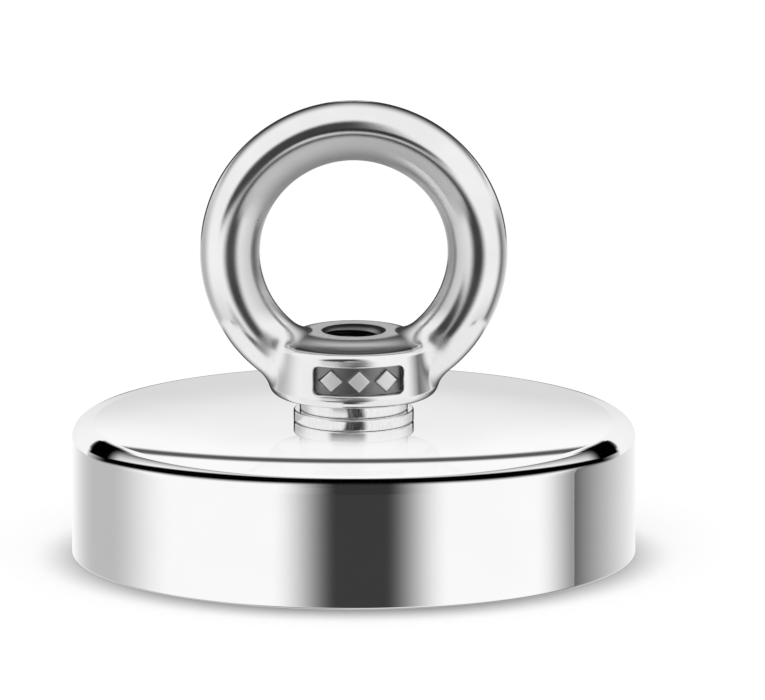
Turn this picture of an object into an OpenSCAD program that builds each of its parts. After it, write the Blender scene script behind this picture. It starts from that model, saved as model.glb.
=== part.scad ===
// Pot magnet with an eye nut, standing on its magnetic face.
// Millimetres, +Z up. The origin is the centre of the face that grips,
// and the eye lies in the XZ plane with its marked panel towards -Y.

/* [Steel pot] */
// Outside diameter of the pot
pot_d = 75; // [60:1:100]
// Height of the pot
pot_h = 18; // [15:0.5:25]
// Radius of the rounded top edge
pot_edge_r = 2; // [1:0.25:3]
// Radius of the rounded bottom edge
pot_foot_r = 0.3; // [0.1:0.1:0.8]
// Thickness of the pot's wall
pot_wall = 5.5; // [4:0.5:8]
// Thickness of the pot's closed top
pot_base = 8; // [5:0.5:9]

/* [Magnet and seal] */
// Width of the epoxy ring between magnet and wall
seal_w = 2; // [1:0.25:4]
// How far the magnet's face lies behind the pot's rim
magnet_recess = 0.4; // [0.2:0.1:1]
// How far the epoxy lies behind the magnet's face
seal_recess = 0.3; // [0.1:0.1:0.6]

/* [Bolt] */
// Thread diameter of the bolt
bolt_d = 8; // [7:0.25:9]
// Diameter of the flat head
bolt_head_d = 16; // [14:0.5:18]
// Height of the straight land round the head's face
bolt_land = 0.4; // [0.2:0.1:0.8]
// How far the head's face lies behind the magnet's face
bolt_recess = 0.5; // [0.2:0.1:1]
// Size of the hexagon socket across its flats
socket_af = 5; // [4:0.5:6]
// Depth of the hexagon socket
socket_depth = 3; // [2:0.25:3.5]
// Length of thread that reaches into the nut
bolt_grip = 4.3; // [3.5:0.1:7]
// Chamfer on the end of the bolt
bolt_chamfer = 1; // [0.4:0.1:1.5]

/* [Washers] */
// Diameter of the flat washer
flat_d = 16; // [15:0.5:20]
// Thickness of the flat washer
flat_t = 1.6; // [1:0.1:2.5]
// Diameter of the spring washer
spring_d = 14.4; // [13:0.2:16]
// Thickness of the spring washer
spring_t = 2; // [1.4:0.1:2.6]
// Width of the split in the spring washer
split_w = 1.2; // [0.6:0.1:2]
// Slope of the split from upright
split_slope = 20; // [0:5:30]
// Chamfer on the washers' outer edges
washer_chamfer = 0.2; // [0.1:0.05:0.4]

/* [Eye ring] */
// Inside diameter of the eye
eye_d = 25; // [22:0.5:30]
// Diameter of the round section of the ring
section_d = 8; // [7:0.25:9]
// How far the ring's circle, carried on inside the collar, reaches below the nut's seat
eye_sink = 1.2; // [0.6:0.1:1.5]
// Growth in radius of the ring's roots where they enter the collar
root_flare = 0.5; // [0.2:0.1:0.7]
// Angle round the ring, up from its lowest point, where a root starts
root_start = 43; // [40:1:48]
// Angle round the ring where a root ends inside the collar
root_end = 26; // [20:1:30]

/* [Collar of the nut] */
// Diameter of the collar near its foot
collar_d = 22; // [20:0.5:24]
// Diameter of the collar near its upper edge
collar_top_d = 21; // [19.5:0.25:23]
// Height of the collar's upper edge above the seat
collar_h = 7.3; // [6.5:0.1:8]
// Radius of the collar's lower edge
collar_foot_r = 1.3; // [0.6:0.1:1.6]
// Radius of the collar's upper edge
collar_edge_r = 0.8; // [0.4:0.1:1.2]
// Width of the level ledge between that edge and the dome
dome_ledge = 0.3; // [0.2:0.1:0.8]
// Diameter of the flat face round the tapped hole
spot_d = 12; // [11:0.25:13]
// Height of that face above the lowest point inside the eye
spot_rise = 1.8; // [1.5:0.1:2.2]
// Chamfer at the mouths of the tapped hole
bore_chamfer = 0.3; // [0.1:0.1:0.6]

/* [Sunk panel] */
// Width of the panel
panel_w = 12; // [9:0.5:13]
// Height of the panel
panel_h = 3.8; // [3:0.1:4.2]
// Height of the panel's centre above the seat
panel_z = 3.7; // [3.4:0.1:4]
// Radius of the panel's corners
panel_corner_r = 0.7; // [0.3:0.1:1.2]
// Depth of the panel behind the collar's side
panel_depth = 0.8; // [0.5:0.1:1.1]
// Turn of the panel round the collar, to the right of front
panel_turn = 4; // [0:1:8]
// Number of raised lozenges in the panel
lozenge_count = 3; // [1:1:3]
// Width of a raised lozenge
lozenge_w = 3; // [2:0.25:3.25]
// Height of a raised lozenge
lozenge_h = 3; // [2:0.1:3.2]
// Distance between the centres of two lozenges
lozenge_pitch = 3.7; // [3.4:0.1:3.8]
// Height of the lozenges above the panel's floor
lozenge_rise = 0.55; // [0.3:0.05:0.7]

/* [Fits] */
// Gap round the bolt in the pot and in the magnet
bolt_hole_gap = 0.5; // [0.2:0.1:1]
// Gap round the bolt in the washers
washer_hole_gap = 0.2; // [0.1:0.05:0.4]
// Gap between thread and nut, and round the bolt's head
thread_gap = 0.05; // [0.02:0.01:0.1]

/* [Hidden] */
$fn = 96;

// How far a cutting body reaches past the face that it cuts
over = 1;

pot_r = pot_d / 2;
cavity_r = pot_r - pot_wall;
cavity_h = pot_h - pot_base;
magnet_r = cavity_r - seal_w;
magnet_z = magnet_recess;
magnet_h = cavity_h - magnet_z;
seal_z = magnet_z + seal_recess;
bolt_r = bolt_d / 2;
bolt_hole_r = bolt_r + bolt_hole_gap;

// The head's flank slopes at 45 degrees, so it is as high as it is wide
head_r = bolt_head_d / 2;
head_z = magnet_z + bolt_recess;
head_flank = head_r - bolt_r;
head_top_z = head_z + bolt_land + head_flank;

flat_z = pot_h;
spring_z = flat_z + flat_t;
seat_z = spring_z + spring_t;
bolt_end_z = seat_z + bolt_grip;
washer_hole_r = bolt_r + washer_hole_gap;

section_r = section_d / 2;
eye_ring_r = eye_d / 2 + section_r;
eye_z = eye_ring_r + section_r - eye_sink;
spot_r = spot_d / 2;
spot_z = section_d - eye_sink + spot_rise;
bore_r = bolt_r + thread_gap;

collar_r = collar_d / 2;
collar_top_r = collar_top_d / 2;
collar_side_r = (collar_r + collar_top_r) / 2;

// Ends inside the flat of the seat, and takes off what the ring's circle shows below it
seat_cut_r = collar_r - collar_foot_r - 0.5;

// The dome leaves the flat face level and comes down on a narrow ledge inside the collar's rim
dome_drop = spot_z - collar_h;
dome_end_r = collar_top_r - collar_edge_r - dome_ledge;
dome_reach = dome_end_r - spot_r;
dome_r = (dome_reach * dome_reach + dome_drop * dome_drop) / (2 * dome_drop);

// A root keeps the ring's inner outline and grows outwards and sideways
root_from = ring_point(root_start, eye_ring_r);
root_to = ring_point(root_end, eye_ring_r + root_flare);
root_run = root_to - root_from;

panel_floor_r = collar_side_r - panel_depth;

// Point of the eye's plane at an angle up from its lowest point
function ring_point(angle, radius) = [radius * sin(angle), eye_z - radius * cos(angle)];

// Solid of revolution round Z from an outline in radius and height
module turned() {
    rotate_extrude() children();
}

// Flat washer's outline, with its outer corners taken off
module washer_outline(outer_r, inner_r, height, chamfer) {
    polygon([[inner_r, 0], [outer_r - chamfer, 0], [outer_r, chamfer],
             [outer_r, height - chamfer], [outer_r - chamfer, height], [inner_r, height]]);
}

// Rectangle centred on the origin, with round corners
module rounded_rectangle(width, height, radius) {
    square([width - 2 * radius, height], center = true);
    square([width, height - 2 * radius], center = true);
    for (x = [-1, 1], y = [-1, 1])
        translate([x * (width / 2 - radius), y * (height / 2 - radius)]) circle(radius);
}

// Outline on the collar's front, carried inwards to the nut's axis
module on_the_front() {
    rotate([90, 0, 0]) linear_extrude(collar_r + over) children();
}

module pot_outline() {
    translate([0, pot_foot_r]) square([pot_r, pot_h - pot_foot_r - pot_edge_r]);
    square([pot_r - pot_foot_r, pot_h - pot_edge_r]);
    translate([pot_r - pot_foot_r, pot_foot_r]) circle(pot_foot_r);
    translate([pot_r - pot_edge_r, pot_h - pot_edge_r]) circle(pot_edge_r);
    square([pot_r - pot_edge_r, pot_h]);
}

module steel_pot() {
    color([0.80, 0.81, 0.82])
    difference() {
        turned() pot_outline();
        translate([0, 0, -over]) cylinder(h = cavity_h + over, r = cavity_r);
        cylinder(h = pot_h + over, r = bolt_hole_r);
    }
}

module ring_magnet() {
    sink_r = head_r + thread_gap;
    color([0.72, 0.73, 0.74])
    translate([0, 0, magnet_z]) difference() {
        cylinder(h = magnet_h, r = magnet_r);
        translate([0, 0, -over]) cylinder(h = magnet_h + 2 * over, r = bolt_hole_r);
        translate([0, 0, -over]) cylinder(h = over + bolt_recess + bolt_land, r = sink_r);
        translate([0, 0, bolt_recess + bolt_land]) cylinder(h = sink_r, r1 = sink_r, r2 = 0);
    }
}

module epoxy_seal() {
    color([0.16, 0.16, 0.17])
    translate([0, 0, seal_z]) difference() {
        cylinder(h = cavity_h - seal_z, r = cavity_r);
        translate([0, 0, -over]) cylinder(h = cavity_h + over, r = magnet_r);
    }
}

module bolt_outline() {
    polygon([[0, head_z], [head_r, head_z], [head_r, head_z + bolt_land], [bolt_r, head_top_z],
             [bolt_r, bolt_end_z - bolt_chamfer], [bolt_r - bolt_chamfer, bolt_end_z], [0, bolt_end_z]]);
}

module countersunk_bolt() {
    color([0.60, 0.61, 0.62])
    difference() {
        turned() bolt_outline();
        translate([0, 0, head_z - over])
            cylinder(h = socket_depth + over, r = socket_af / 2 / cos(30), $fn = 6);
    }
}

module flat_washer() {
    color([0.74, 0.75, 0.76])
    translate([0, 0, flat_z]) turned() washer_outline(flat_d / 2, washer_hole_r, flat_t, washer_chamfer);
}

module spring_washer() {
    color([0.70, 0.71, 0.72])
    translate([0, 0, spring_z]) difference() {
        turned() washer_outline(spring_d / 2, washer_hole_r, spring_t, washer_chamfer);
        translate([0, spring_d / 4 + bolt_r / 2, spring_t / 2]) rotate([0, split_slope, 0])
            cube([split_w, spring_d / 2, 4 * spring_t], center = true);
    }
}

// Collar with rounded edges, and the dome that rises from its ledge to the flat face
module collar_outline() {
    foot_r = collar_r - collar_foot_r;
    rim_r = collar_top_r - collar_edge_r;
    polygon([[0, 0], [foot_r, 0], [collar_r, collar_foot_r],
             [collar_top_r, collar_h - collar_edge_r], [rim_r, collar_h], [0, collar_h]]);
    translate([foot_r, collar_foot_r]) circle(collar_foot_r);
    translate([rim_r, collar_h - collar_edge_r]) circle(collar_edge_r);
    square([spot_r, spot_z]);
    intersection() {
        translate([spot_r, spot_z - dome_r]) circle(dome_r);
        square([dome_end_r, spot_z]);
    }
}

// Cone along the eye's leg, from the plain ring down into the collar
module root() {
    lean = atan2(root_run[0], root_run[1]);
    translate([root_from[0], 0, root_from[1]]) rotate([0, lean, 0])
        cylinder(h = norm(root_run), r1 = section_r, r2 = section_r + root_flare);
}

module panel_recess() {
    intersection() {
        on_the_front() translate([0, panel_z]) rounded_rectangle(panel_w, panel_h, panel_corner_r);
        difference() {
            cylinder(h = collar_h, r = collar_r + over);
            cylinder(h = collar_h, r = panel_floor_r);
        }
    }
}

module lozenges() {
    intersection() {
        on_the_front() for (i = [0 : lozenge_count - 1])
            translate([(i - (lozenge_count - 1) / 2) * lozenge_pitch, panel_z])
                polygon([[-lozenge_w / 2, 0], [0, -lozenge_h / 2], [lozenge_w / 2, 0], [0, lozenge_h / 2]]);
        difference() {
            cylinder(h = collar_h, r = panel_floor_r + lozenge_rise);
            cylinder(h = collar_h, r = panel_floor_r - lozenge_rise);
        }
    }
}

module tapped_hole() {
    mouth_r = bore_r + bore_chamfer;
    translate([0, 0, -over]) cylinder(h = spot_z + 2 * over, r = bore_r);
    cylinder(h = mouth_r, r1 = mouth_r, r2 = 0);
    translate([0, 0, spot_z - mouth_r]) cylinder(h = mouth_r, r1 = 0, r2 = mouth_r);
}

module eye_nut() {
    color([0.77, 0.78, 0.79])
    translate([0, 0, seat_z]) {
        difference() {
            union() {
                translate([0, 0, eye_z]) rotate([90, 0, 0]) turned()
                    translate([eye_ring_r, 0]) circle(section_r);
                turned() collar_outline();
                root();
                mirror([1, 0, 0]) root();
            }
            translate([0, 0, -eye_sink - over]) cylinder(h = eye_sink + over, r = seat_cut_r);
            tapped_hole();
            rotate([0, 0, panel_turn]) panel_recess();
        }
        rotate([0, 0, panel_turn]) lozenges();
    }
}

steel_pot();
ring_magnet();
epoxy_seal();
countersunk_bolt();
flat_washer();
spring_washer();
eye_nut();
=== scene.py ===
import math

import bmesh
import bpy
import numpy as np
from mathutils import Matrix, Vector


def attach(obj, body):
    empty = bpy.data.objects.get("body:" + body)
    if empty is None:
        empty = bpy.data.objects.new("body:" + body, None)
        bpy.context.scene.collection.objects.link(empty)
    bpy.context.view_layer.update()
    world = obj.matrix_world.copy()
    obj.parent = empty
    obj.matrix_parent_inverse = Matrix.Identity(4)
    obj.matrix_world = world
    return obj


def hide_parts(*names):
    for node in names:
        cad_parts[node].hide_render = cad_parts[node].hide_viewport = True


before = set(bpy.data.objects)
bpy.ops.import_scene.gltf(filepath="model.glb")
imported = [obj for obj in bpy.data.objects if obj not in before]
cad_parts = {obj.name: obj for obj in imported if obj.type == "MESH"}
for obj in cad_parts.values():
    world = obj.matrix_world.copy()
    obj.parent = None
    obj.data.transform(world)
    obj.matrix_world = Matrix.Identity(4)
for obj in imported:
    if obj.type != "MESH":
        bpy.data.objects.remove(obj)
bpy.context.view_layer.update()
MM = 0.001


# The studio: a white light tent with the camera's dark opening in front and a gap behind.
# The view is parallel, from 11.9 degrees above, with 7.51 pixels to the millimetre.

class Wire:
    """A socket of a node tree that can be used in a Python expression."""

    def __init__(self, tree, socket=None):
        self.tree = tree
        self.socket = socket

    def node(self, kind, inputs=None, settings=None, output=0):
        """Add any node: settings first, then the values or links of its sockets."""
        made = self.tree.nodes.new(kind)
        for name, value in (settings or {}).items():
            if name == "stops":
                ramp = made.color_ramp
                while len(ramp.elements) < len(value):
                    ramp.elements.new(0.5)
                for element, (position, grey) in zip(ramp.elements, value):
                    element.position = position
                    element.color = (grey, grey, grey, 1)
            else:
                setattr(made, name, value)
        for name, value in (inputs or {}).items():
            if isinstance(value, Wire):
                self.tree.links.new(value.socket, made.inputs[name])
            else:
                made.inputs[name].default_value = value
        return Wire(self.tree, made.outputs[output] if made.outputs else None)

    def math(self, operation, *values):
        return self.node("ShaderNodeMath", dict(enumerate(values)), {"operation": operation})

    def __add__(self, other):
        return self.math("ADD", self, other)

    __radd__ = __add__

    def __sub__(self, other):
        return self.math("SUBTRACT", self, other)

    def __rsub__(self, other):
        return self.math("SUBTRACT", other, self)

    def __mul__(self, other):
        return self.math("MULTIPLY", self, other)

    __rmul__ = __mul__

    def __truediv__(self, other):
        return self.math("DIVIDE", self, other)

    def __pow__(self, other):
        return self.math("POWER", self, other)

    def smooth(self, low, high, at_low=0.0, at_high=1.0):
        """Ease from one value to another as this one passes from low to high."""
        return self.node(
            "ShaderNodeMapRange",
            {"Value": self, "From Min": low, "From Max": high, "To Min": at_low, "To Max": at_high},
            {"interpolation_type": "SMOOTHSTEP"},
        )


VIEW_DOWN = math.radians(11.92)
PIXELS_PER_MM = 7.51
PHOTO_W, PHOTO_H = 765, 700
AXIS_PIXEL, BASE_PIXEL = 353.7, 552.1
CAMERA_AWAY = 1.0

aim_side = (PHOTO_W / 2 - AXIS_PIXEL) / PIXELS_PER_MM * MM
aim_up = (BASE_PIXEL - PHOTO_H / 2) / PIXELS_PER_MM * MM / math.cos(VIEW_DOWN)
back = Vector((0, -math.cos(VIEW_DOWN), math.sin(VIEW_DOWN)))
camera_data = bpy.data.cameras.new("camera")
camera_data.type = "ORTHO"
camera_data.ortho_scale = PHOTO_W / PIXELS_PER_MM * MM
camera_data.clip_start = 0.01
camera = bpy.data.objects.new("camera", camera_data)
camera.location = Vector((aim_side, 0, aim_up)) + back * CAMERA_AWAY
camera.rotation_euler = (math.radians(90) - VIEW_DOWN, 0, 0)
bpy.context.scene.collection.objects.link(camera)
bpy.context.scene.camera = camera
bpy.context.scene.view_settings.view_transform = "Standard"

world = bpy.data.worlds.new("light tent")
bpy.context.scene.world = world
world.use_nodes = True
world.node_tree.nodes.clear()
tent = Wire(world.node_tree)
direction = tent.node("ShaderNodeTexCoord", output="Generated")
split = tent.node("ShaderNodeSeparateXYZ", {0: direction}).socket.node
east, north, height = (Wire(tent.tree, split.outputs[i]) for i in range(3))
DEGREE = 180 / math.pi
elevation = tent.math("ARCSINE", height) * DEGREE
from_front = tent.math("ARCTAN2", east, 0 - north) * DEGREE
from_behind = tent.math("ARCTAN2", east, north) * DEGREE


def flag(azimuth, turn, rise, half_width, half_height, softness):
    """Soft-edged dark patch of the tent: 1 in its middle, 0 outside it."""
    across = (azimuth - turn) / half_width
    along = (elevation - rise) / half_height
    distance = (across ** 2 + along ** 2) ** 0.5
    return distance.smooth(1 - softness, 1 + softness, 1.0, 0.0)


# Each flag is given by the turn and the rise of its middle, its half width and half height, all in degrees,
# and its softness. Its depth is the share of the tent's light that it takes away. The pot's wall mirrors the
# opening and the right edge, the washers its middle, the ring its arc and the low flag, and the crown the back.
roof = elevation.smooth(-20, -55, 0.98, 0.5)
opening = flag(from_front, 2.9, -10, 24, 11.5, 0.57)
opening_middle = flag(from_front, 6.5, 12.5, 16, 7, 0.4)
from_middle = (from_front ** 2 + elevation ** 2) ** 0.5
opening_arc = from_middle.smooth(7, 16) * from_middle.smooth(41, 56, 1.0, 0.0)
opening_arc = opening_arc * from_front.smooth(-2, 26, 1.0, 0.0) * elevation.smooth(-6, 3)
low_flag = flag(from_front, -25, -37, 21, 10, 0.55)
past_edge = from_front.smooth(102, 103.5)
below_level = elevation.smooth(-2, 12, 1.0, 0.0)
right_edge = past_edge * ((183 - from_front) / 80) ** 1.6 * below_level
right_fade = from_front.smooth(80, 108) * (1 - past_edge) * below_level
left_dip = flag(from_front, -126, -15, 27, 25, 0.75)
straight_on = north * math.cos(VIEW_DOWN) - height * math.sin(VIEW_DOWN)
off_view = tent.math("ARCCOSINE", straight_on) * DEGREE
behind = tent.math("ABSOLUTE", from_behind).smooth(2, 3.5, 1.0, 0.0)
slot = behind * elevation.smooth(4, 8) * elevation.smooth(16.2, 17, 1.0, 0.0)
slot_dusk = slot * elevation.smooth(10.5, 13, 1.0, 0.0)
low_back = off_view.smooth(33, 37, 1.0, 0.0) * elevation.smooth(-11, -8) * (1 - slot)
high_back = off_view.smooth(34, 86, 1.0, 0.0) * elevation.smooth(8, 17) * (1 - slot)
back_flag = tent.math("MAXIMUM", low_back, high_back)
mirrored = roof
for patch, depth in (
    (opening, 0.955), (opening_middle, 0.92), (opening_arc, 0.95), (low_flag, 0.9), (right_edge, 0.87),
    (right_fade, 0.76), (left_dip, 0.48), (back_flag, 0.97), (slot_dusk, 0.28),
):
    mirrored = mirrored * (1 - depth * patch)

# Matt surfaces get even light, mirrors see the tent, and the camera and clear surfaces see white.
AMBIENT = 0.82
path = tent.node("ShaderNodeLightPath").socket.node
seen = Wire(tent.tree, path.outputs["Is Camera Ray"])
glossy = Wire(tent.tree, path.outputs["Is Glossy Ray"])
passing = Wire(tent.tree, path.outputs["Is Transmission Ray"])
strength = AMBIENT + seen * (1 - AMBIENT) + passing * (1 - AMBIENT) + glossy * (mirrored - AMBIENT)
lit = tent.node("ShaderNodeBackground", {"Color": (1, 1, 1, 1), "Strength": strength})
tent.node("ShaderNodeOutputWorld", {"Surface": lit})


def material(name):
    """New node material: its empty tree as a Wire, and the material."""
    made = bpy.data.materials.new(name)
    made.use_nodes = True
    made.node_tree.nodes.clear()
    return Wire(made.node_tree), made


def finish_material(wire, shader):
    """Make a shader the surface of a material."""
    wire.node("ShaderNodeOutputMaterial", {"Surface": shader})


def grey(wire, value):
    """Colour with the same value in its three channels."""
    return wire.node("ShaderNodeCombineColor", {0: value, 1: value, 2: value})


def place_in_mm(wire):
    """The three Object coordinates of a material, in millimetres."""
    place = wire.node("ShaderNodeTexCoord", output="Object")
    parts = wire.node("ShaderNodeSeparateXYZ", {0: place}).socket.node.outputs
    return [Wire(wire.tree, part) * (1 / MM) for part in parts]


FLOOR_HALF = 1.5
floor_mesh = bpy.data.meshes.new("floor")
floor_mesh.from_pydata(
    [(x * FLOOR_HALF, y * FLOOR_HALF, 0) for x, y in ((-1, -1), (1, -1), (1, 1), (-1, 1))], [], [(0, 1, 2, 3)]
)
floor = bpy.data.objects.new("floor", floor_mesh)
bpy.context.scene.collection.objects.link(floor)
floor.visible_glossy = False
paper, paper_material = material("white paper")
paper_x, paper_y, _ = place_in_mm(paper)
# Painted contact shadow: the paper's colour and glow darken in a soft disc round the pot's foot, set a little
# towards the front.
SHADOW_R, SHADOW_FRONT, SHADOW_SOFT = 37.5, 3.0, 6.0
SHADOW_DARK, PAPER_WHITE = 0.25, 0.95
PAPER_GLOW, GLOW_SHARE = 2.3, 0.15
past_painted_shadow = (paper_x ** 2 + (paper_y + SHADOW_FRONT) ** 2) ** 0.5 - SHADOW_R
painted_contact_shadow = past_painted_shadow.smooth(-SHADOW_SOFT, SHADOW_SOFT, SHADOW_DARK, 1.0)
shade = paper.node("ShaderNodeBsdfDiffuse", {"Color": grey(paper, PAPER_WHITE * painted_contact_shadow)})
glow = paper.node("ShaderNodeEmission", {"Color": grey(paper, painted_contact_shadow), "Strength": PAPER_GLOW})
paper_seen = paper.node("ShaderNodeLightPath", output="Is Camera Ray")
paper_top = paper.node("ShaderNodeMixShader", {0: paper_seen * GLOW_SHARE, 1: shade, 2: glow})
seen_through = paper.node("ShaderNodeBsdfTransparent")
paper_under = paper.node("ShaderNodeNewGeometry", output="Backfacing")
finish_material(paper, paper.node("ShaderNodeMixShader", {0: paper_under, 1: paper_top, 2: seen_through}))
floor_mesh.materials.append(paper_material)

LAMP_PLACE = Vector((-0.25, -0.35, 0.9))
LAMP_SIZE, LAMP_WATTS = 0.8, 0.5
lamp_data = bpy.data.lights.new("top light", "AREA")
lamp_data.shape = "SQUARE"
lamp_data.size = LAMP_SIZE
lamp_data.energy = LAMP_WATTS
lamp = bpy.data.objects.new("top light", lamp_data)
lamp.location = LAMP_PLACE
lamp.rotation_euler = (-LAMP_PLACE).to_track_quat("-Z", "Y").to_euler()
lamp.visible_glossy = False
bpy.context.scene.collection.objects.link(lamp)


# Steel pot: a turned cup of mild steel with a thick closed top, open towards the floor.
# It is nickel-plated to a mirror, and polishing has let its top fall off a little near the rim.

def outline_mesh(name, points):
    """Closed outline in radius and height, given in millimetres, as loose edges.

    The turning tree sweeps it along a circle of 1 mm, so radius is kept less that 1 mm,
    and height upside down.
    """
    mesh = bpy.data.meshes.new(name)
    count = len(points)
    mesh.from_pydata(
        [((r - 1) * MM, -z * MM, 0) for r, z in points], [(i, (i + 1) % count) for i in range(count)], []
    )
    return mesh


def rounded(points, steps=8, guard=0.05):
    """Round the corners of an outline; each point is radius, height and corner radius.

    A guard point stands close to each end of a straight run, so that its shading stays flat.
    """
    result = []
    count = len(points)
    for i, (r, z, bend) in enumerate(points):
        here = Vector((r, z))
        if bend == 0:
            result.append(here)
            continue
        before = (Vector(points[i - 1][:2]) - here).normalized()
        after = (Vector(points[(i + 1) % count][:2]) - here).normalized()
        half = before.angle(after) / 2
        reach = bend / math.tan(half)
        centre = here + (before + after).normalized() * (bend / math.sin(half))
        start = here + before * reach - centre
        end = here + after * reach - centre
        sweep = start.angle(end)
        result.append(here + before * (reach + guard))
        for step in range(steps + 1):
            t = step / steps
            arc = (start * math.sin((1 - t) * sweep) + end * math.sin(t * sweep)) / math.sin(sweep)
            result.append(centre + arc)
        result.append(here + after * (reach + guard))
    return [tuple(point) for point in result]


def turning_tree(name, closed):
    """Geometry Nodes: sweep the object's own outline round the Z axis, whole or in part."""
    tree = bpy.data.node_groups.new(name, "GeometryNodeTree")
    sockets = [
        ("Outline", "NodeSocketGeometry"), ("Facets", "NodeSocketInt"), ("Material", "NodeSocketMaterial"),
    ]
    if not closed:
        sockets += [("Start", "NodeSocketFloat"), ("Sweep", "NodeSocketFloat")]
    for label, kind in sockets:
        tree.interface.new_socket(label, in_out="INPUT", socket_type=kind)
    tree.interface.new_socket("Piece", in_out="OUTPUT", socket_type="NodeSocketGeometry")
    given = Wire(tree).node("NodeGroupInput").socket.node
    wire = Wire(tree)
    outline, facets, finish = (Wire(tree, given.outputs[i]) for i in range(3))
    profile = wire.node("GeometryNodeMeshToCurve", {"Mesh": outline})
    if closed:
        path = wire.node(
            "GeometryNodeCurvePrimitiveCircle", {"Resolution": facets, "Radius": MM}, {"mode": "RADIUS"}
        )
    else:
        start, sweep = (Wire(tree, given.outputs[i]) for i in (3, 4))
        path = wire.node(
            "GeometryNodeCurveArc",
            {"Resolution": facets, "Radius": MM, "Start Angle": start, "Sweep Angle": sweep},
            {"mode": "RADIUS"},
        )
    swept = wire.node(
        "GeometryNodeCurveToMesh", {"Curve": path, "Profile Curve": profile, "Fill Caps": not closed}
    )
    real = wire.node("GeometryNodeRealizeInstances", {"Geometry": swept})
    finished = wire.node("GeometryNodeSetMaterial", {"Geometry": real, "Material": finish})
    wire.node("NodeGroupOutput", {0: finished})
    return tree


def turned_piece(name, points, finish, facets=384, tree=None, part=None):
    """Turn an outline into a finished piece: smooth mesh, faces outwards, at the origin."""
    holder = bpy.data.objects.new(name + ".outline", outline_mesh(name + ".outline", points))
    bpy.context.scene.collection.objects.link(holder)
    modifier = holder.modifiers.new("turned", "NODES")
    modifier.node_group = tree or LATHE
    values = {"Facets": facets, "Material": finish}
    if part:
        values.update(part)
    for item in modifier.node_group.interface.items_tree:
        if item.name in values:
            modifier[item.identifier] = values[item.name]
    view = bpy.context.evaluated_depsgraph_get()
    mesh = bpy.data.meshes.new_from_object(holder.evaluated_get(view))
    bpy.data.objects.remove(holder)
    shape = bmesh.new()
    shape.from_mesh(mesh)
    if shape.calc_volume(signed=True) < 0:
        bmesh.ops.reverse_faces(shape, faces=shape.faces)
    for face in shape.faces:
        face.smooth = len(face.verts) == 4
    shape.to_mesh(mesh)
    shape.free()
    mesh.name = name
    piece = bpy.data.objects.new(name, mesh)
    bpy.context.scene.collection.objects.link(piece)
    return piece


def fasten(piece, node):
    """Say what a piece rides on, and hide the CAD node that it stands for."""
    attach(piece, "root")
    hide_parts(node)


def noise(wire, place, scale, detail):
    """Noise from 0 to 1, with its scale in waves to the metre."""
    return wire.node("ShaderNodeTexNoise", {"Vector": place, "Scale": scale, "Detail": detail}, output="Fac")


def two_tones(wire, share, first, second):
    """Colour between two colours of red, green, blue and alpha."""
    return wire.node("ShaderNodeMix", {0: share, 6: first, 7: second}, {"data_type": "RGBA"}, output=2)


def bump(wire, height, strength, depth):
    """Normal that a height field tips, with its depth in metres."""
    return wire.node("ShaderNodeBump", {"Strength": strength, "Distance": depth, "Height": height})


def metal(wire, tone, rough, normal):
    """Bare metal of one tone, with its roughness and normal."""
    return wire.node("ShaderNodeBsdfPrincipled", {
        "Base Color": tone, "Metallic": 1.0, "Roughness": rough, "Normal": normal,
    })


LATHE = turning_tree("turned on a lathe", True)

POT_R, POT_H = 37.5, 18.0
POT_EDGE_R, POT_FOOT_R = 2.0, 0.3
CAVITY_R, CAVITY_H = 32.0, 10.0
BOLT_HOLE_R = 4.5
CROWN_SLOPE = math.radians(1.8)
CROWN_POWER = 3.72
EDGE_STEPS, CROWN_STEPS, CROWN_SHARE = 24, 30, 30 / 36

EDGE_CENTRE_R = POT_R - POT_EDGE_R
crown_end_r = EDGE_CENTRE_R + POT_EDGE_R * math.sin(CROWN_SLOPE)
crown_drop = math.tan(CROWN_SLOPE) * crown_end_r / CROWN_POWER
EDGE_CENTRE_Z = POT_H - crown_drop - POT_EDGE_R * math.cos(CROWN_SLOPE)


def crown_height(radius):
    """Height of the crowned top at a radius, in millimetres."""
    return POT_H - crown_drop * (radius / crown_end_r) ** CROWN_POWER


def edge_point(tilt, clear=0):
    """Radius and height on the rounded edge, or just clear of it, where it faces tilt from upright."""
    reach = POT_EDGE_R + clear
    return EDGE_CENTRE_R + reach * math.sin(tilt), EDGE_CENTRE_Z + reach * math.cos(tilt)


def pot_outline():
    """The cup's outline, from the foot up the wall, over the crowned top and down the hole."""
    outline = rounded([
        (BOLT_HOLE_R, CAVITY_H, 0.15), (CAVITY_R, CAVITY_H, 0.1), (CAVITY_R, 0, POT_FOOT_R),
        (POT_R, 0, POT_FOOT_R), (POT_R, POT_H, 0), (BOLT_HOLE_R, POT_H, 0.2),
    ])
    corner = outline.index((POT_R, POT_H))
    edge = []
    for step in range(EDGE_STEPS + 1):
        tilt = math.radians(90) + (CROWN_SLOPE - math.radians(90)) * step / EDGE_STEPS
        edge.append(edge_point(tilt))
    crown = []
    for step in range(1, CROWN_STEPS + 1):
        out = crown_end_r * (1 - step * CROWN_SHARE / CROWN_STEPS)
        crown.append((out, crown_height(out)))
    side_guard = (POT_R, EDGE_CENTRE_Z - 0.05)
    return outline[:corner] + [side_guard] + edge + crown + outline[corner + 1:]


plate, plate_material = material("bright nickel plate")
plate_place = plate.node("ShaderNodeTexCoord", output="Object")
cloud = noise(plate, plate_place, 90.0, 3.0)
plate_tone = two_tones(plate, cloud.smooth(0.3, 0.7), (0.955, 0.955, 0.96, 1), (0.975, 0.975, 0.97, 1))
grain = noise(plate, plate_place, 2600.0, 2.0)
plate_rough = cloud.smooth(0.2, 0.8, 0.025, 0.045)
finish_material(plate, metal(plate, plate_tone, plate_rough, bump(plate, grain, 0.012, 0.00005)))

pot = turned_piece("plated_pot", pot_outline(), plate_material, facets=512)
fasten(pot, "steel_pot")


# Rim strip: painted reflection, bent round the pot's edge just clear of it, which only mirrors see.
# Its glowing and dark patches are painted reflections: the rim's dark line, its two dark corners and its pale
# ends.

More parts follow.
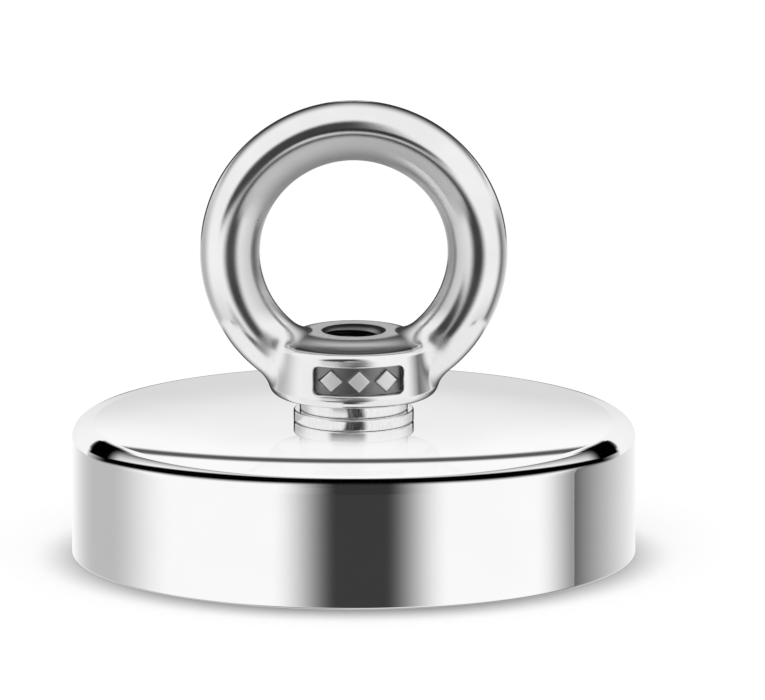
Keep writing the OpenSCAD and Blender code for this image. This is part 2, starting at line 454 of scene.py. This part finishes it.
STRIP_CLEAR = 0.05
STRIP_INNER_R = 34.6
RIM_REACH, TOP_REACH = math.radians(126), math.radians(80)
STRIP_TURNS, STRIP_TILTS = 200, 16


def bent_painted_strip(name, reach, profile):
    """Strip bent round the pot's front, from its profile of (radius, height), seen only by mirrors: it carries
    painted reflections.
    """
    points = []
    for step in range(STRIP_TURNS + 1):
        turn = reach * (2 * step / STRIP_TURNS - 1)
        points += [(out * math.sin(turn) * MM, -out * math.cos(turn) * MM, up * MM) for out, up in profile]
    faces = []
    for step in range(STRIP_TURNS):
        for rise in range(len(profile) - 1):
            corner = step * len(profile) + rise
            faces.append((corner, corner + len(profile), corner + len(profile) + 1, corner + 1))
    mesh = bpy.data.meshes.new(name)
    mesh.from_pydata(points, [], faces)
    strip = bpy.data.objects.new(name, mesh)
    bpy.context.scene.collection.objects.link(strip)
    for kind in ("camera", "diffuse", "shadow", "transmission"):
        setattr(strip, "visible_" + kind, False)
    return strip


rim_profile = [
    (out, crown_height(out) + STRIP_CLEAR) for out in (STRIP_INNER_R, STRIP_INNER_R + 0.5, crown_end_r)
]
for step in range(1, STRIP_TILTS + 1):
    tilt = CROWN_SLOPE + (math.radians(90) - CROWN_SLOPE) * step / STRIP_TILTS
    rim_profile.append(edge_point(tilt, STRIP_CLEAR))
painted_rim_strip = bent_painted_strip("painted_rim_strip", RIM_REACH, rim_profile)
painted_rim, painted_rim_material = material("painted rim reflection")
painted_rim_x, painted_rim_y, painted_rim_z = place_in_mm(painted_rim)
# Both in degrees: the turn round the pot from its front, and the tilt of its rounded edge from upright.
turned = painted_rim.math("ARCTAN2", painted_rim_x, 0 - painted_rim_y) * DEGREE
turned_by = painted_rim.math("ABSOLUTE", turned)
painted_rim_out = (painted_rim_x ** 2 + painted_rim_y ** 2) ** 0.5 - EDGE_CENTRE_R
tilted_by = painted_rim.math("ARCTAN2", painted_rim_out, painted_rim_z - EDGE_CENTRE_Z) * DEGREE
# The painted dark line climbs down the edge as it turns away from the front, and grows thinner.
off_line = (tilted_by - 31 - 35 * (turned_by / 55) ** 1.6) / turned_by.smooth(25, 60, 1.0, 0.68)
dark_line = off_line.smooth(-18, -10) * off_line.smooth(9, 24, 1.0, 0.0) * turned_by.smooth(62, 72, 1.0, 0.0)
dusky_front = painted_rim.math("ABSOLUTE", turned - 1.75).smooth(5, 18.5, 1.0, 0.0) * tilted_by.smooth(30, 45)
dark_corner = turned_by.smooth(57, 62) * turned_by.smooth(69.5, 71.5, 1.0, 0.0)
dark_corner = dark_corner * tilted_by.smooth(-20, 2) * tilted_by.smooth(70, 77, 1.0, 0.0)
dark = painted_rim.math("MAXIMUM", dark_line, dark_corner)
pale_end = turned_by.smooth(70.5, 72) * turned_by.smooth(108, 125, 1.0, 0.0)
bright_top = tilted_by.smooth(12, 16, 1.0, 0.0) * turned_by.smooth(53, 59, 1.0, 0.0)
bright = painted_rim.math("MAXIMUM", bright_top, tilted_by.smooth(58, 64) * turned_by.smooth(24, 34, 1.0, 0.0))
# Painted reflections: the bright and pale patches glow, the dusky front and the dark patches are near black.
painted_rim_shader = painted_rim.node("ShaderNodeBsdfTransparent")
pale_glow = painted_rim_y.smooth(-12, 16, 0.93, 0.8)
for cover, glow in ((bright, 0.98), (pale_end, pale_glow), (dusky_front, 0.035), (dark, 0.0)):
    painted_rim_glow = painted_rim.node("ShaderNodeEmission", {"Color": grey(painted_rim, glow), "Strength": 1.0})
    painted_rim_shader = painted_rim.node("ShaderNodeMixShader", {0: cover, 1: painted_rim_shader, 2: painted_rim_glow})
finish_material(painted_rim, painted_rim_shader)
painted_rim_strip.data.materials.append(painted_rim_material)


# Top strip: more painted reflection, laid just clear of the front of the pot's top.
# Its painted dark arc draws the thin dark line inside the rim, and its glowing white middle, a painted
# reflection, fades the nut's mirror image.

PAINTED_TOP_INNER_R, PAINTED_TOP_ROWS = 8.6, 25
ARC_R, ARC_BEND = 25.9, 0.0025
painted_top_strip = bent_painted_strip("painted_top_strip", TOP_REACH, [
    (out, crown_height(out) + STRIP_CLEAR) for out in np.linspace(PAINTED_TOP_INNER_R, STRIP_INNER_R, PAINTED_TOP_ROWS).tolist()
])
painted_top, painted_top_material = material("painted top reflection")
painted_top_x, painted_top_y, _ = place_in_mm(painted_top)
painted_top_out = (painted_top_x ** 2 + painted_top_y ** 2) ** 0.5
painted_top_side = painted_top.math("ARCTAN2", painted_top_x, 0 - painted_top_y) * DEGREE
painted_top_turn = painted_top.math("ABSOLUTE", painted_top_side)
off_arc = painted_top.math("ABSOLUTE", painted_top_out - ARC_R - ARC_BEND * painted_top_turn ** 2)
dark_arc = off_arc.smooth(0.5, 2.3, 0.9, 0.0) * painted_top_turn.smooth(62, 70, 1.0, 0.0)
white = painted_top.math("ABSOLUTE", painted_top_x).smooth(13, 21, 1.0, 0.0) * (0 - painted_top_y).smooth(3, 12)
white = white * painted_top_out.smooth(PAINTED_TOP_INNER_R, 18, 0.3, 0.95)
white_glow = (0 - painted_top_y).smooth(4, 24, 0.88, 0.97)
# Light that the top mirrors comes through from below, and light that the washers mirror comes from above.
from_above = painted_top.node("ShaderNodeNewGeometry", output="Backfacing")
first_mirror = painted_top.node("ShaderNodeLightPath", output="Ray Depth").smooth(1.4, 1.6, 1.0, 0.0)
from_below = (1 - from_above) * first_mirror
beside = painted_top_side.smooth(-14, -8, 1.0, 0.0) * painted_top_out.smooth(17, 24, 1.0, 0.0) * from_above
painted_top_shader = painted_top.node("ShaderNodeBsdfTransparent")
# Painted reflections: the glowing white middle and the dark arc, seen in the top, and a glowing patch beside,
# seen in the washers.
for cover, glow in ((white * from_below, white_glow), (dark_arc * from_below, 0.0), (beside, 0.93)):
    painted_top_glow = painted_top.node("ShaderNodeEmission", {"Color": grey(painted_top, glow), "Strength": 1.0})
    painted_top_shader = painted_top.node("ShaderNodeMixShader", {0: cover, 1: painted_top_shader, 2: painted_top_glow})
finish_material(painted_top, painted_top_shader)
painted_top_strip.data.materials.append(painted_top_material)


# Ring magnet: a sintered ring, nickel-plated and countersunk for the bolt's flat head.
# It lies in the cup, face down, and is held by its own pull, the bolt and the seal.

MAGNET_R, MAGNET_Z = 30.0, 0.4
SINK_R, SINK_LAND_Z, SINK_TOP_Z = 8.05, 1.3, 4.85

magnet_metal, magnet_material = material("semi-bright nickel plate")
magnet_place = magnet_metal.node("ShaderNodeTexCoord", output="Object")
speck = noise(magnet_metal, magnet_place, 900.0, 4.0)
stain = noise(magnet_metal, magnet_place, 60.0, 2.0)
magnet_tone = two_tones(magnet_metal, stain.smooth(0.35, 0.65), (0.74, 0.73, 0.71, 1), (0.82, 0.82, 0.81, 1))
magnet_rough = stain.smooth(0.3, 0.7, 0.16, 0.26)
magnet_bump = bump(magnet_metal, speck, 0.15, 0.00004)
finish_material(magnet_metal, metal(magnet_metal, magnet_tone, magnet_rough, magnet_bump))

magnet = turned_piece("plated_magnet", rounded([
    (BOLT_HOLE_R, SINK_TOP_Z, 0.1), (BOLT_HOLE_R, CAVITY_H, 0.2), (MAGNET_R, CAVITY_H, 0.3),
    (MAGNET_R, MAGNET_Z, 0.3), (SINK_R, MAGNET_Z, 0.12), (SINK_R, SINK_LAND_Z, 0.1),
]), magnet_material, facets=256)
fasten(magnet, "ring_magnet")


# Epoxy seal: dark resin poured into the gap between the magnet and the cup's wall.
# It has set dull, and climbs a little up both walls as any poured resin does.

SEAL_Z, SEAL_CLIMB = 0.7, 0.15

resin, resin_material = material("cast epoxy")
resin_place = resin.node("ShaderNodeTexCoord", output="Object")
ripple = noise(resin, resin_place, 350.0, 3.0)
resin_tone = two_tones(resin, ripple, (0.022, 0.022, 0.024, 1), (0.04, 0.04, 0.042, 1))
finish_material(resin, resin.node("ShaderNodeBsdfPrincipled", {
    "Base Color": resin_tone, "Roughness": ripple.smooth(0.2, 0.8, 0.38, 0.55),
    "Normal": bump(resin, ripple, 0.3, 0.0001),
}))

meniscus = []
for step in range(13):
    across = -1 + step / 6
    meniscus.append((
        (MAGNET_R + CAVITY_R) / 2 + across * (CAVITY_R - MAGNET_R) / 2, SEAL_Z - SEAL_CLIMB * across ** 4
    ))
seal = turned_piece(
    "poured_seal", meniscus + [(CAVITY_R, CAVITY_H), (MAGNET_R, CAVITY_H)], resin_material, facets=256
)
fasten(seal, "epoxy_seal")


# Flat washer: stamped from stainless sheet, with its sheared edge left grainy.
# The bolt clamps it between the pot's top and the spring washer.

FLAT_R, FLAT_T = 8.0, 1.6
WASHER_HOLE_R = 4.2
SPRING_R, SPRING_T = 7.2, 2.0
SPRING_Z = POT_H + FLAT_T
SEAT_Z = SPRING_Z + SPRING_T

sheet, sheet_material = material("stamped stainless")
sheet_place = sheet.node("ShaderNodeTexCoord", output="Object")
streaks = sheet.node("ShaderNodeMapping", {"Vector": sheet_place, "Scale": (1.0, 1.0, 0.15)})
shear = noise(sheet, streaks, 7000.0, 2.0)
sheet_tone = two_tones(sheet, shear.smooth(0.3, 0.7), (0.84, 0.84, 0.84, 1), (0.92, 0.92, 0.92, 1))
sheet_rough = shear.smooth(0.3, 0.7, 0.08, 0.16)
finish_material(sheet, metal(sheet, sheet_tone, sheet_rough, bump(sheet, shear, 0.05, 0.00001)))

flat_washer = turned_piece("stamped_washer", rounded([
    (WASHER_HOLE_R, POT_H, 0.1), (FLAT_R, POT_H, 0.25), (FLAT_R, SPRING_Z, 0.2),
    (WASHER_HOLE_R, SPRING_Z, 0.1),
]), sheet_material, facets=256)
fasten(flat_washer, "flat_washer")


# Spring washer: a bar of spring steel bent into a ring and cut through at a slant.
# Tightened, it lies flat between the flat washer and the nut, with its split at the back.

SPLIT_W = 1.2
SPLIT_SLOPE = math.radians(20)

split_half = SPLIT_W / 2 / ((SPRING_R + WASHER_HOLE_R) / 2)
spring_washer = turned_piece(
    "split_washer", rounded([
        (WASHER_HOLE_R, SPRING_Z, 0.1), (SPRING_R, SPRING_Z, 0.2), (SPRING_R, SEAT_Z, 0.2),
        (WASHER_HOLE_R, SEAT_Z, 0.1),
    ]), sheet_material, facets=250, tree=turning_tree("bent round the bolt", False),
    part={"Start": math.radians(90) + split_half, "Sweep": math.radians(360) - 2 * split_half},
)
for vertex in spring_washer.data.vertices:
    x, y, z = vertex.co
    lean = (z / MM - SPRING_Z - SPRING_T / 2) * math.tan(SPLIT_SLOPE)
    turn = -lean / (math.hypot(x, y) / MM)
    vertex.co = (x * math.cos(turn) - y * math.sin(turn), x * math.sin(turn) + y * math.cos(turn), z)
fasten(spring_washer, "spring_washer")


# Countersunk bolt: plain stainless, forged with a flat head and a hexagon socket, thread rolled.
# It comes up through magnet and pot and is screwed into the nut.

HEAD_R, HEAD_Z, HEAD_LAND = 8.0, 0.9, 0.4
SOCKET_AF, SOCKET_DEPTH, SOCKET_MOUTH = 5.0, 3.0, 0.25
THREAD_PITCH = 1.25
CREST_R, VALLEY_R, THREAD_GAP = 3.35, 4.05, 0.1
THREAD_FROM_Z, BOLT_END_Z, END_CHAMFER = 9.0, 25.9, 1.0
SHANK_R = VALLEY_R - THREAD_GAP
BOLT_FACETS = 96


def thread_radius(turn, z):
    """Radius of the nut's right-hand thread at an angle in radians and a height in millimetres."""
    phase = np.abs((z / THREAD_PITCH - turn / (2 * math.pi)) % 1 - 0.5) * 2
    ramp = np.clip((phase - 0.2) / 0.62, 0, 1)
    eased = ramp * ramp * (3 - 2 * ramp)
    return CREST_R + (VALLEY_R - CREST_R) * (0.35 * eased + 0.65 * ramp)


def ring_mesh(name, rows, facets):
    """Closed mesh from rows of (radii, heights) round the axis; the first and last close on it."""
    turn = np.arange(facets) * 2 * math.pi / facets
    points = [(0, 0, rows[0][1] * MM)]
    for radius, z in rows:
        radius = np.broadcast_to(radius, turn.shape)
        points += [(r * math.cos(t) * MM, r * math.sin(t) * MM, z * MM) for r, t in zip(radius, turn)]
    points.append((0, 0, rows[-1][1] * MM))
    faces = []
    for i in range(facets):
        j = (i + 1) % facets
        faces.append((0, 1 + j, 1 + i))
        for row in range(len(rows) - 1):
            low, high = 1 + row * facets, 1 + (row + 1) * facets
            faces.append((low + i, low + j, high + j, high + i))
        last = 1 + (len(rows) - 1) * facets
        faces.append((last + i, last + j, len(points) - 1))
    mesh = bpy.data.meshes.new(name)
    mesh.from_pydata(points, [], faces)
    mesh.shade_smooth()
    return mesh


bolt_turn = np.arange(BOLT_FACETS) * 2 * math.pi / BOLT_FACETS
flat_angle = (bolt_turn + math.pi / 6) % (math.pi / 3) - math.pi / 6
hexagon = SOCKET_AF / 2 / np.cos(flat_angle)
socket_floor = HEAD_Z + SOCKET_DEPTH
bolt_rows = [(hexagon * 0.97, socket_floor), (hexagon, socket_floor), (hexagon, socket_floor - 0.03)]
bolt_rows += [(hexagon, HEAD_Z + SOCKET_MOUTH + 0.03), (hexagon, HEAD_Z + SOCKET_MOUTH)]
bolt_rows += [(SOCKET_AF / 2 / math.cos(math.pi / 6) + SOCKET_MOUTH, HEAD_Z), (SOCKET_AF / 2 + 0.8, HEAD_Z)]
bolt_rows += [(HEAD_R - 0.16, HEAD_Z), (HEAD_R - 0.1, HEAD_Z), (HEAD_R - 0.03, HEAD_Z + 0.03)]
bolt_rows += [(HEAD_R, HEAD_Z + 0.1), (HEAD_R, HEAD_Z + HEAD_LAND - 0.03)]
cone_top_z = HEAD_Z + HEAD_LAND + HEAD_R - SHANK_R
bolt_rows += [(HEAD_R - 0.02, HEAD_Z + HEAD_LAND + 0.02), (SHANK_R + 0.03, cone_top_z - 0.03)]
bolt_rows += [(SHANK_R, cone_top_z + 0.03), (SHANK_R, THREAD_FROM_Z - 0.1)]
for z in np.arange(THREAD_FROM_Z, BOLT_END_Z + 0.001, THREAD_PITCH / 12):
    ridge = thread_radius(bolt_turn, z) - THREAD_GAP
    start = min(1, (z - THREAD_FROM_Z) / THREAD_PITCH)
    ridge = SHANK_R + (ridge - SHANK_R) * start
    bolt_rows.append((np.minimum(ridge, SHANK_R - END_CHAMFER + (BOLT_END_Z - z)), z))
end_r = SHANK_R - END_CHAMFER
bolt_rows += [(end_r - 0.02, BOLT_END_Z), (end_r - 0.15, BOLT_END_Z), (end_r / 2, BOLT_END_Z)]

steel, steel_material = material("plain stainless")
steel_place = steel.node("ShaderNodeTexCoord", output="Object")
rolled = noise(steel, steel_place, 1500.0, 4.0)
steel_tone = two_tones(steel, rolled.smooth(0.35, 0.65), (0.5, 0.5, 0.5, 1), (0.64, 0.64, 0.63, 1))
steel_rough = rolled.smooth(0.3, 0.7, 0.26, 0.4)
finish_material(steel, metal(steel, steel_tone, steel_rough, bump(steel, rolled, 0.25, 0.00003)))

bolt_mesh = ring_mesh("threaded_bolt", bolt_rows, BOLT_FACETS)
bolt_mesh.materials.append(steel_material)
bolt = bpy.data.objects.new("threaded_bolt", bolt_mesh)
bpy.context.scene.collection.objects.link(bolt)
fasten(bolt, "countersunk_bolt")


# Eye nut: ring, neck and collar cast in one piece of stainless, then ground and polished.
# A flat is cut round its tapped hole, and a panel with three raised lozenges is cast in its front.

EYE_Z, RING_R, SECTION_R = 19.3, 16.5, 4.0
COLLAR_R, COLLAR_TOP_R, COLLAR_H = 11.0, 10.5, 7.3
COLLAR_FOOT_R, COLLAR_EDGE_R = 1.3, 0.8
SPOT_R, SPOT_Z, DOME_R, DOME_LEDGE = 6.0, 8.6, 5.096, 0.7
HOLE_MOUTH = 0.1
PANEL_W, PANEL_H, PANEL_Z, PANEL_CORNER_R = 12.0, 3.8, 3.7, 0.7
PANEL_FLOOR_R, PANEL_TURN = 9.95, math.radians(4)
LOZENGE_HALF, LOZENGE_PITCH, LOZENGE_R = 1.5, 3.7, 10.5
NECK_BLEND, CREASE_BLEND, CUT_BLEND = 2.0, 0.5, 0.2
COS_45 = math.cos(math.radians(45))
FINE, COARSE = 0.15, 0.45


def joined(a, b, blend):
    """Distance to two bodies melted together, with a fillet of about the blend's size."""
    near = np.maximum(blend - np.abs(a - b), 0) / blend
    return np.minimum(a, b) - near * near * blend / 4


def cut(a, b, blend):
    """Distance to a body with another taken out of it."""
    return -joined(-a, b, blend)


def rounded_corner(a, b, radius):
    """Distance inside two faces whose common edge is rounded."""
    outside = np.hypot(np.maximum(a + radius, 0), np.maximum(b + radius, 0))
    return np.minimum(np.maximum(a, b), -radius) + outside


def nut_distance(x, y, z):
    """Signed distance, in millimetres from the nut's seat, to the finished eye nut."""
    radius = np.hypot(x, y)
    ring = np.hypot(np.hypot(x, z - EYE_Z) - RING_R, y) - SECTION_R
    side = radius - COLLAR_R + (COLLAR_R - COLLAR_TOP_R) * (z - COLLAR_FOOT_R) / (COLLAR_H - COLLAR_FOOT_R)
    collar = rounded_corner(rounded_corner(side, -z, COLLAR_FOOT_R), z - COLLAR_H, COLLAR_EDGE_R)
    dome = np.hypot(np.maximum(radius - SPOT_R, 0), z - SPOT_Z + DOME_R) - DOME_R
    dome = np.maximum(dome, radius - COLLAR_TOP_R + DOME_LEDGE)
    neck = np.interp(radius, (4.6, 6.5, COLLAR_TOP_R), (0.2, 1.2, NECK_BLEND))
    body = joined(joined(collar, dome, CREASE_BLEND), ring, neck)
    body = cut(body, z, 0.05)
    across = x * math.cos(PANEL_TURN) + y * math.sin(PANEL_TURN)
    behind = -x * math.sin(PANEL_TURN) + y * math.cos(PANEL_TURN)
    wide = np.abs(across) - PANEL_W / 2 + PANEL_CORNER_R
    tall = np.abs(z - PANEL_Z) - PANEL_H / 2 + PANEL_CORNER_R
    frame_edge = np.hypot(np.maximum(wide, 0), np.maximum(tall, 0)) + np.minimum(np.maximum(wide, tall), 0)
    panel = rounded_corner(np.maximum(frame_edge - PANEL_CORNER_R, behind), PANEL_FLOOR_R - radius, 0.12)
    body = cut(body, panel, CUT_BLEND)
    for place in (-LOZENGE_PITCH, 0, LOZENGE_PITCH):
        diamond = (np.abs(across - place) + np.abs(z - PANEL_Z) - LOZENGE_HALF) * COS_45
        lozenge = rounded_corner(np.maximum(diamond, behind), radius - LOZENGE_R, 0.2)
        body = joined(body, np.maximum(lozenge, PANEL_FLOOR_R - 1 - radius), 0.15)
    hole = radius - thread_radius(np.arctan2(y, x), z + SEAT_Z)
    mouth = (radius - VALLEY_R - HOLE_MOUTH + np.minimum(SPOT_Z - z, z)) * COS_45
    return cut(body, np.maximum(np.minimum(hole, mouth), z - SPOT_Z - 1), 0.06)


def graded(stops):
    """Grid lines from runs of (start, end, spacing)."""
    lines = [stops[0][0]]
    for low, high, spacing in stops:
        count = max(1, round((high - low) / spacing))
        lines += [low + (high - low) * (i + 1) / count for i in range(count)]
    return np.array(lines)


def surface_net(distance, xs, ys, zs):
    """Quads on the zero surface of a distance field: a vertex in each cell that it crosses."""
    grid = distance(xs[:, None, None], ys[None, :, None], zs[None, None, :])
    inside = grid < 0
    shape = tuple(n - 1 for n in grid.shape)
    weight = np.zeros(shape)
    place = np.zeros(shape + (3,))
    lines = (xs, ys, zs)
    for axis in range(3):
        near = [slice(None)] * 3
        far = [slice(None)] * 3
        near[axis], far[axis] = slice(None, -1), slice(1, None)
        a, b = grid[tuple(near)], grid[tuple(far)]
        crossed = (a < 0) != (b < 0)
        share = np.where(crossed, a / np.where(crossed, a - b, 1), 0)
        others = [k for k in range(3) if k != axis]
        for p in (0, 1):
            for q in (0, 1):
                take = [slice(None)] * 3
                take[others[0]] = slice(p, p - 1 or None)
                take[others[1]] = slice(q, q - 1 or None)
                hit = crossed[tuple(take)]
                spot = np.zeros(hit.shape + (3,))
                for k in range(3):
                    run = lines[k]
                    form = [1, 1, 1]
                    form[k] = -1
                    if k == axis:
                        value = run[:-1].reshape(form) + share[tuple(take)] * np.diff(run).reshape(form)
                    else:
                        offset = p if k == others[0] else q
                        value = run[offset:len(run) - 1 + offset].reshape(form)
                    spot[..., k] = np.broadcast_to(value, hit.shape)
                weight += hit
                place += spot * hit[..., None]
    used = weight > 0
    index = np.full(shape, -1)
    index[used] = np.arange(used.sum())
    points = place[used] / weight[used][:, None]
    faces = []
    for axis in range(3):
        a_axis, b_axis = (axis + 1) % 3, (axis + 2) % 3
        near = [slice(1, -1)] * 3
        far = [slice(1, -1)] * 3
        near[axis], far[axis] = slice(None, -1), slice(1, None)
        first, second = inside[tuple(near)], inside[tuple(far)]
        where = np.argwhere(first != second)
        leaving = first[tuple(where.T)]
        where[:, a_axis] += 1
        where[:, b_axis] += 1
        corners = []
        for da, db in ((1, 1), (0, 1), (0, 0), (1, 0)):
            cell = where.copy()
            cell[:, a_axis] -= da
            cell[:, b_axis] -= db
            corners.append(index[tuple(cell.T)])
        quads = np.stack(corners, axis=1)
        quads[~leaving] = quads[~leaving][:, ::-1]
        faces.append(quads)
    return points, np.concatenate(faces)


def slope(distance, points, reach=0.01):
    """Gradient of a distance field at points."""
    x, y, z = points.T
    return np.stack([
        distance(x + reach, y, z) - distance(x - reach, y, z),
        distance(x, y + reach, z) - distance(x, y - reach, z),
        distance(x, y, z + reach) - distance(x, y, z - reach),
    ], axis=1) / (2 * reach)


def settle(distance, points, faces, rounds=3):
    """Even out a net's points along the surface and put them back on it."""
    edges = np.concatenate([faces[:, [i, (i + 1) % 4]] for i in range(4)])
    for _ in range(rounds):
        total = np.zeros_like(points)
        count = np.zeros(len(points))
        for a, b in (edges.T, edges.T[::-1]):
            np.add.at(total, a, points[b])
            np.add.at(count, a, 1)
        points = points + 0.4 * (total / count[:, None] - points)
        for _ in range(2):
            way = slope(distance, points)
            size = np.maximum((way ** 2).sum(axis=1), 0.2)
            step = (distance(*points.T) / size)[:, None] * way
            points = points - np.clip(step, -0.1, 0.1)
    return points


net_points, net_faces = surface_net(
    nut_distance,
    graded([(-21, -7.1, COARSE), (-7.1, 7.2, FINE), (7.2, 21, COARSE)]),
    graded([(-11.5, -8.4, FINE), (-8.4, -4.6, COARSE), (-4.6, 4.6, 0.17), (4.6, 11.5, COARSE)]),
    graded([(-0.4, 10.2, FINE), (10.2, 42.0, COARSE)]),
)
net_points = settle(nut_distance, net_points, net_faces)
nut_mesh = bpy.data.meshes.new("polished_eye_nut")
nut_mesh.from_pydata((net_points + (0, 0, SEAT_Z)) * MM, [], net_faces)
nut_mesh.validate()
nut_mesh.shade_smooth()
normals = slope(nut_distance, net_points, 0.03)
normals /= np.linalg.norm(normals, axis=1)[:, None]
nut_mesh.normals_split_custom_set_from_vertices(normals)

cast, cast_material = material("polished cast stainless")
cast_place = cast.node("ShaderNodeTexCoord", output="Object")
cast_x, cast_y, cast_z = place_in_mm(cast)
skin = noise(cast, cast_place, 1800.0, 3.0)
wave = noise(cast, cast_place, 120.0, 2.0)
from_axis = (cast_x ** 2 + cast_y ** 2) ** 0.5
from_eye = (cast_x ** 2 + (cast_z - SEAT_Z - EYE_Z) ** 2) ** 0.5
rim_z, spot_face_z, eye_z = SEAT_Z + COLLAR_H, SEAT_Z + SPOT_Z, SEAT_Z + EYE_Z
# The ring's inner side carries painted shade in its colour and is a little rougher, and it is satin on the
# upper half of that side.
inner_side = from_eye.smooth(RING_R + 0.5, RING_R - 3.8) * cast_z.smooth(spot_face_z + 1, spot_face_z + 4)
top_side = from_eye.smooth(RING_R + 0.4, RING_R - 0.3) * cast_z.smooth(eye_z + 4, eye_z + 9)
top_side = top_side * cast.math("MAXIMUM", cast_x.smooth(9, 3), from_eye.smooth(RING_R - 1.7, RING_R - 1.1))
# The dome is a little rougher and carries slight painted shade, with painted dark shade in the groove where it
# meets the collar's rim in front and behind.
below_eye = cast_z.smooth(spot_face_z + 1.5, spot_face_z + 0.7)
dome_area = from_axis.smooth(COLLAR_TOP_R - 0.6, COLLAR_TOP_R - 1.3) * below_eye
on_dome = cast_z.smooth(rim_z, rim_z + 0.4) * dome_area
groove = cast_z.smooth(rim_z - 0.1, rim_z) * cast_z.smooth(rim_z + 1.1, rim_z + 0.1)
groove = groove * from_axis.smooth(COLLAR_TOP_R - 0.5, COLLAR_TOP_R - 0.8)
groove = groove * cast.math("ABSOLUTE", cast_y).smooth(2, 7)
# The panel's floor carries painted shade in its colour and is rougher, and the faces of its lozenges are satin.
across_panel = cast.math("ABSOLUTE", cast_x * math.cos(PANEL_TURN) + cast_y * math.sin(PANEL_TURN))
panel_height = cast.math("ABSOLUTE", cast_z - SEAT_Z - PANEL_Z)
panel_area = across_panel.smooth(PANEL_W / 2 + 0.1, PANEL_W / 2) * cast_y.smooth(-7, -7.1)
panel_area = panel_area * panel_height.smooth(PANEL_H / 2 + 0.1, PANEL_H / 2)
in_panel = panel_area * from_axis.smooth(LOZENGE_R - 0.16, LOZENGE_R - 0.28)
on_lozenge = panel_area * from_axis.smooth(LOZENGE_R - 0.14, LOZENGE_R - 0.06)
on_lozenge = on_lozenge * across_panel.smooth(PANEL_W / 2 - 0.4, PANEL_W / 2 - 0.6)
# The tapped hole carries painted shade, less on the crests of its thread as painted highlights, and polishing
# left the necks of the ring dull.
in_hole = from_axis.smooth(VALLEY_R + 0.35, VALLEY_R + 0.15) * below_eye
crest = from_axis.smooth(VALLEY_R - 0.1, CREST_R + 0.15)
neck_side = cast.math("ABSOLUTE", cast_x) - COLLAR_R + 0.1
on_neck = ((neck_side ** 2 + (cast_z - rim_z) ** 2) ** 0.5).smooth(2.8, 0.6)
tone_and_painted_shade = wave.smooth(0.3, 0.7, 0.93, 1.0)
# Painted shade: these factors darken the colour on the ring's inner side, the dome, the groove and the panel's
# floor.
for painted_shade, part in ((0.38, inner_side), (0.1, on_dome), (0.88, groove), (0.72, in_panel)):
    tone_and_painted_shade = tone_and_painted_shade * (1 - painted_shade * part)
# Painted shade in the tapped hole, lighter on the thread's crests as painted highlights.
tone_and_painted_shade = tone_and_painted_shade * (1 - in_hole * (0.98 - 0.35 * crest))
cast_tone = two_tones(cast, tone_and_painted_shade, (0.01, 0.01, 0.01, 1), (0.9, 0.9, 0.9, 1))
cast_rough = wave.smooth(0.3, 0.7, 0.11, 0.15)
for extra, part in (
    (0.12, inner_side), (0.4, top_side), (0.12, on_dome), (0.2, in_panel), (0.1, in_hole), (0.4, on_lozenge),
    (0.22, on_neck),
):
    cast_rough = cast_rough + extra * part
finish_material(cast, metal(cast, cast_tone, cast_rough, bump(cast, skin, 0.08, 0.00004)))
nut_mesh.materials.append(cast_material)
nut = bpy.data.objects.new("polished_eye_nut", nut_mesh)
bpy.context.scene.collection.objects.link(nut)
fasten(nut, "eye_nut")
